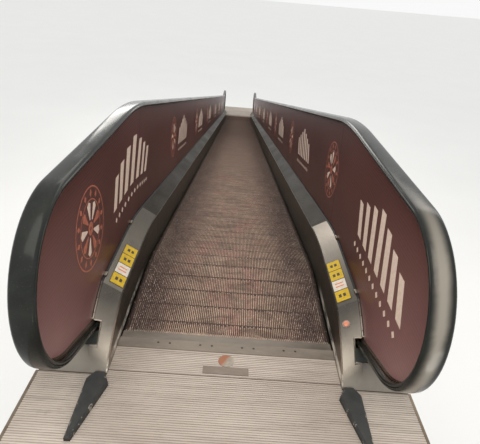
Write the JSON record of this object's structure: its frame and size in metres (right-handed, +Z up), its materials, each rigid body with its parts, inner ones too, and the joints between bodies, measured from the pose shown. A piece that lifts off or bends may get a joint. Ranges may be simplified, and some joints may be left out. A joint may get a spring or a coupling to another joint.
{
  "type": "moving walkway",
  "caption": "Inclined moving walkway with glass balustrades, black handrails, steel decks, ribbed landing plates and a closed truss that spans from landing to landing.",
  "frame": {"origin": "middle of the flat underside of the upper support flange", "axes": "+X to the right and +Y down the ramp, seen from the upper landing; +Z up"},
  "size_m": [1.5946, 19.5301, 5.065],
  "materials": {
    "cladding_steel": "matt grey paint",
    "truss_steel": "dark primer",
    "flange_steel": "dark primer",
    "frame_steel": "worn brushed",
    "ribbed_plate": "ribbed and worn",
    "comb_metal": "smooth and worn",
    "pallet_metal": "ribbed and worn",
    "skirt_metal": "dark satin",
    "deck_steel": "brushed",
    "inlet_brush": "black bristle",
    "clamp_metal": "satin",
    "rail_rubber": "glossy black",
    "guide_metal": "satin",
    "panel_glass": "filmed",
    "guide_plastic": "scuffed",
    "button_plastic": "worn orange",
    "ring_metal": "brushed",
    "cap_metal": "worn orange-brown paint",
    "bare_metal": "dull",
    "strip_film": "yellow film"
  },
  "bodies": {
    "root": {"truss_housing": "truss_steel", "side_covers": "cladding_steel", "soffit_panels": "cladding_steel", "support_flange_upper": "flange_steel", "support_flange_lower": "flange_steel", "end_plate_upper": "cladding_steel", "end_plate_lower": "cladding_steel", "pallet_band": "pallet_metal", "pallet_rails": "truss_steel", "skirt_panels": "skirt_metal", "inner_decks": "deck_steel", "outer_decks": "deck_steel", "glass_clamps": "clamp_metal", "glass_panels": "panel_glass", "handrail_right": "rail_rubber", "handrail_left": "rail_rubber", "handrail_guides": "guide_metal", "bare_plate_upper": "bare_metal", "marker_strips": "strip_film", "floor_frame_upper": "frame_steel", "floor_plates_upper": "ribbed_plate", "front_plate_upper": "ribbed_plate", "access_cap_upper": "cap_metal", "comb_plate_upper": "comb_metal", "comb_upper": "comb_metal", "newel_housings_upper": "deck_steel", "handrail_inlets_upper": "inlet_brush", "newel_clamps_upper": "clamp_metal", "trolley_guides_upper": "guide_plastic", "stop_button_upper": "button_plastic", "stop_ring_upper": "ring_metal", "floor_frame_lower": "frame_steel", "floor_plates_lower": "ribbed_plate", "front_plate_lower": "ribbed_plate", "access_cap_lower": "cap_metal", "comb_plate_lower": "comb_metal", "comb_lower": "comb_metal", "newel_housings_lower": "deck_steel", "handrail_inlets_lower": "inlet_brush", "newel_clamps_lower": "clamp_metal", "trolley_guides_lower": "guide_plastic", "stop_button_lower": "button_plastic", "stop_ring_lower": "ring_metal"}
  },
  "joints": []
}
